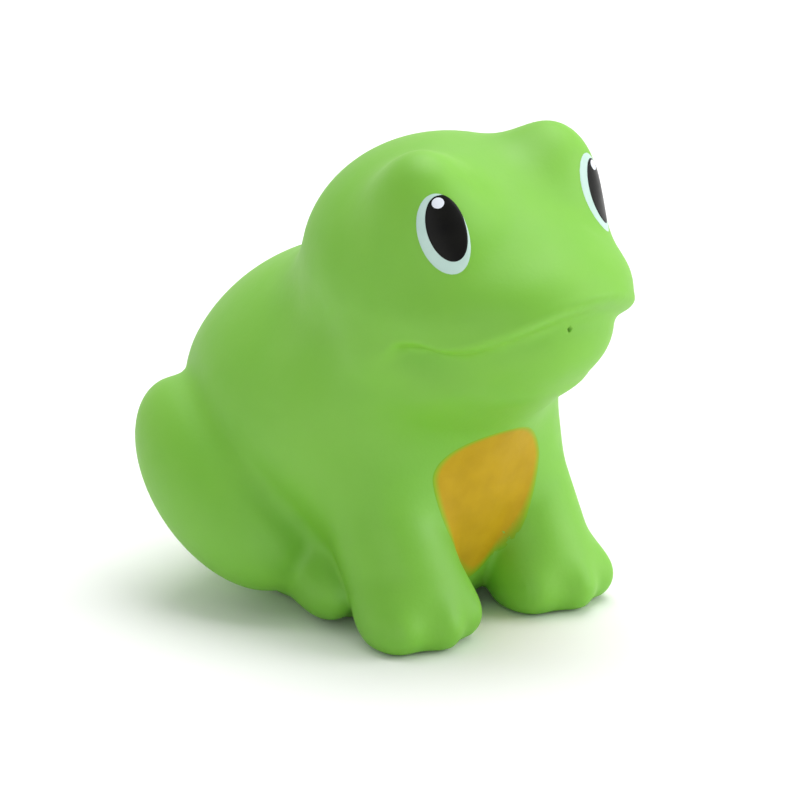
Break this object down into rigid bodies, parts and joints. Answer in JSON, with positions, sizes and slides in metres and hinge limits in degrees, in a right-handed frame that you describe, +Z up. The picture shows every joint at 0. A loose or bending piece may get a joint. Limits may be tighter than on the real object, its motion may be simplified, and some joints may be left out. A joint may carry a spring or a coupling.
{
  "type": "squeaky bath toy",
  "caption": "Hollow soft vinyl sitting frog with painted eyes and belly, a chin vent and a reed squeaker in its base; the head presses down and springs back",
  "frame": {"origin": "centre of the toy's outline on the surface it sits on", "axes": "+Z up, the frog looks along -Y, its left side is +X"},
  "size_m": [0.0578, 0.0736, 0.0694],
  "materials": {
    "vinyl": "soft satin vinyl",
    "eye_white_paint": "gloss paint",
    "pupil_paint": "gloss paint",
    "glint_paint": "gloss paint",
    "belly_paint": "sprayed satin paint",
    "squeaker_plastic": "moulded satin",
    "reed_plastic": "moulded satin",
    "reed_film": "thin clear film"
  },
  "bodies": {
    "body": {"skin_body": "vinyl", "belly_patch": "belly_paint", "squeaker_cup": "squeaker_plastic", "squeaker_lid": "squeaker_plastic", "reed_block": "reed_plastic", "reed_clip": "reed_plastic"},
    "head": {"skin_head": "vinyl", "eye_white_left": "eye_white_paint", "eye_white_right": "eye_white_paint", "pupil_left": "pupil_paint", "pupil_right": "pupil_paint", "eye_glint_left": "glint_paint", "eye_glint_right": "glint_paint"},
    "reed": {"reed_tongue": "reed_film"}
  },
  "joints": [
    {"name": "head_squeeze", "type": "slide", "parent": "body", "child": "head", "axis": [0, 0, -1], "range_m": [0, 0.008], "stiffness_N_per_m": 1200, "springref_m": -0.0004, "deforming": ["skin_body", "belly_patch"]},
    {"name": "reed_flutter", "type": "hinge", "parent": "body", "child": "reed", "pos_m": [0, 0.00602, 0.0065], "axis": [-1, 0, 0], "range_deg": [-2, 4], "stiffness_Nm_per_rad": 0.00002}
  ]
}
